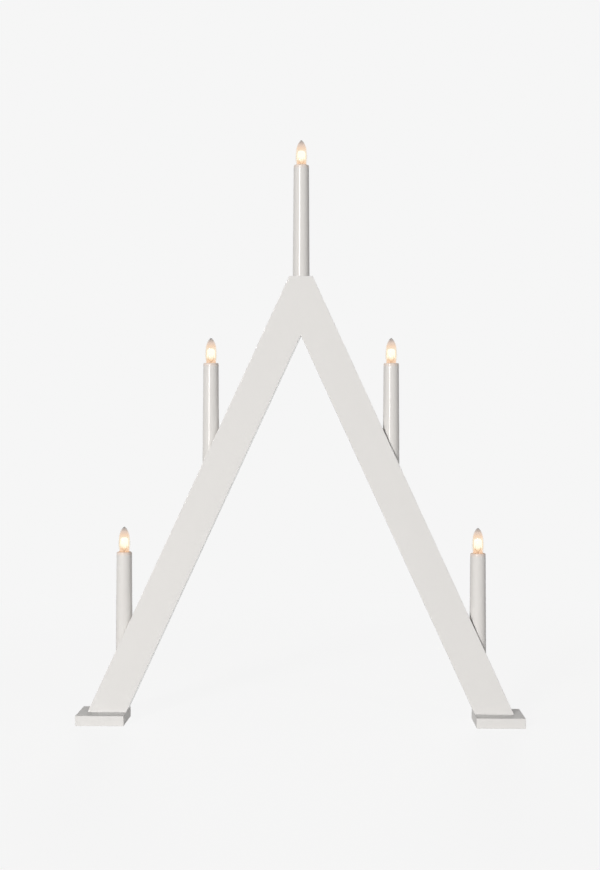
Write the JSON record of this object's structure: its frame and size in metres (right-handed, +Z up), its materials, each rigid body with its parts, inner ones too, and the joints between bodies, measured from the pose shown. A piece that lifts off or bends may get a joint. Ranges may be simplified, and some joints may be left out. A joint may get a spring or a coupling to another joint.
{
  "type": "advent candlestick",
  "caption": "Tall A-shaped wooden window candlestick: two leaning boards on foot plates, with white candle tubes that hold screw-in pointed lamps, wired through the back.",
  "frame": {"origin": "on the surface that the feet stand on, midway between them and at the middle of their depth", "axes": "+Z up, +Y to the back where the wires run, X along the width"},
  "size_m": [0.529, 0.058, 0.6962],
  "materials": {
    "painted_wood": "satin white paint on smooth wood",
    "bare_wood": "bare plywood",
    "candle_plastic": "smooth white moulded plastic",
    "holder_plastic": "white moulded plastic",
    "brass": "rolled brass",
    "spring_bronze": "bright spring strip",
    "clear_glass": "clear blown glass, lit from inside",
    "solder": "dull solder on a dark insulating button",
    "filament": "glowing wire on a glass stem",
    "wire_sleeve": "white insulation",
    "fastener_steel": "zinc plated"
  },
  "bodies": {
    "stand": {"leg_left": "painted_wood", "leg_right": "painted_wood", "foot_left": "painted_wood", "foot_right": "painted_wood", "mitre_tongue": "bare_wood", "foot_screw_left_front": "fastener_steel", "foot_screw_left_back": "fastener_steel", "foot_screw_right_front": "fastener_steel", "foot_screw_right_back": "fastener_steel", "staple_left_high": "fastener_steel", "staple_left_low": "fastener_steel", "staple_right_high": "fastener_steel", "staple_right_low": "fastener_steel", "wire_feed": "wire_sleeve", "wire_left_outer_to_left_inner": "wire_sleeve", "wire_left_inner_to_top": "wire_sleeve", "wire_top_to_right_inner": "wire_sleeve", "wire_right_inner_to_right_outer": "wire_sleeve", "wire_return": "wire_sleeve", "cord_gland": "holder_plastic", "candle_tube_left_outer": "candle_plastic", "lamp_holder_left_outer": "holder_plastic", "screw_shell_left_outer": "brass", "contact_leaf_left_outer": "spring_bronze", "candle_tube_left_inner": "candle_plastic", "lamp_holder_left_inner": "holder_plastic", "screw_shell_left_inner": "brass", "contact_leaf_left_inner": "spring_bronze", "candle_tube_top": "candle_plastic", "lamp_holder_top": "holder_plastic", "screw_shell_top": "brass", "contact_leaf_top": "spring_bronze", "candle_tube_right_inner": "candle_plastic", "lamp_holder_right_inner": "holder_plastic", "screw_shell_right_inner": "brass", "contact_leaf_right_inner": "spring_bronze", "candle_tube_right_outer": "candle_plastic", "lamp_holder_right_outer": "holder_plastic", "screw_shell_right_outer": "brass", "contact_leaf_right_outer": "spring_bronze"},
    "bulb_left_outer_end": {"bulb_tip_left_outer": "solder"},
    "bulb_left_outer": {"bulb_cap_left_outer": "brass", "bulb_glass_left_outer": "clear_glass", "filament_left_outer": "filament"},
    "bulb_left_inner_end": {"bulb_tip_left_inner": "solder"},
    "bulb_left_inner": {"bulb_cap_left_inner": "brass", "bulb_glass_left_inner": "clear_glass", "filament_left_inner": "filament"},
    "bulb_top_end": {"bulb_tip_top": "solder"},
    "bulb_top": {"bulb_cap_top": "brass", "bulb_glass_top": "clear_glass", "filament_top": "filament"},
    "bulb_right_inner_end": {"bulb_tip_right_inner": "solder"},
    "bulb_right_inner": {"bulb_cap_right_inner": "brass", "bulb_glass_right_inner": "clear_glass", "filament_right_inner": "filament"},
    "bulb_right_outer_end": {"bulb_tip_right_outer": "solder"},
    "bulb_right_outer": {"bulb_cap_right_outer": "brass", "bulb_glass_right_outer": "clear_glass", "filament_right_outer": "filament"}
  },
  "joints": [
    {"name": "bulb_left_outer_rise", "type": "slide", "parent": "stand", "child": "bulb_left_outer_end", "axis": [0, 0, 1], "range_m": [0, 0.00817]},
    {"name": "bulb_left_outer_turn", "type": "hinge", "parent": "bulb_left_outer_end", "child": "bulb_left_outer", "pos_m": [-0.21197, 0.008, 0.20204], "axis": [0, 0, 1], "range_deg": [0, 1620]},
    {"name": "bulb_left_inner_rise", "type": "slide", "parent": "stand", "child": "bulb_left_inner_end", "axis": [0, 0, 1], "range_m": [0, 0.00817]},
    {"name": "bulb_left_inner_turn", "type": "hinge", "parent": "bulb_left_inner_end", "child": "bulb_left_inner", "pos_m": [-0.108, 0.008, 0.42897], "axis": [0, 0, 1], "range_deg": [0, 1620]},
    {"name": "bulb_top_rise", "type": "slide", "parent": "stand", "child": "bulb_top_end", "axis": [0, 0, 1], "range_m": [0, 0.00817]},
    {"name": "bulb_top_turn", "type": "hinge", "parent": "bulb_top_end", "child": "bulb_top", "pos_m": [0, 0.008, 0.666], "axis": [0, 0, 1], "range_deg": [0, 1620]},
    {"name": "bulb_right_inner_rise", "type": "slide", "parent": "stand", "child": "bulb_right_inner_end", "axis": [0, 0, 1], "range_m": [0, 0.00817]},
    {"name": "bulb_right_inner_turn", "type": "hinge", "parent": "bulb_right_inner_end", "child": "bulb_right_inner", "pos_m": [0.108, 0.008, 0.42897], "axis": [0, 0, 1], "range_deg": [0, 1620]},
    {"name": "bulb_right_outer_rise", "type": "slide", "parent": "stand", "child": "bulb_right_outer_end", "axis": [0, 0, 1], "range_m": [0, 0.00817]},
    {"name": "bulb_right_outer_turn", "type": "hinge", "parent": "bulb_right_outer_end", "child": "bulb_right_outer", "pos_m": [0.21197, 0.008, 0.20204], "axis": [0, 0, 1], "range_deg": [0, 1620]}
  ],
  "couplings": [
    {"joint": "bulb_left_outer_rise", "follows": "bulb_left_outer_turn", "m_per_rad": 0.00028871},
    {"joint": "bulb_left_inner_rise", "follows": "bulb_left_inner_turn", "m_per_rad": 0.00028871},
    {"joint": "bulb_top_rise", "follows": "bulb_top_turn", "m_per_rad": 0.00028871},
    {"joint": "bulb_right_inner_rise", "follows": "bulb_right_inner_turn", "m_per_rad": 0.00028871},
    {"joint": "bulb_right_outer_rise", "follows": "bulb_right_outer_turn", "m_per_rad": 0.00028871}
  ]
}
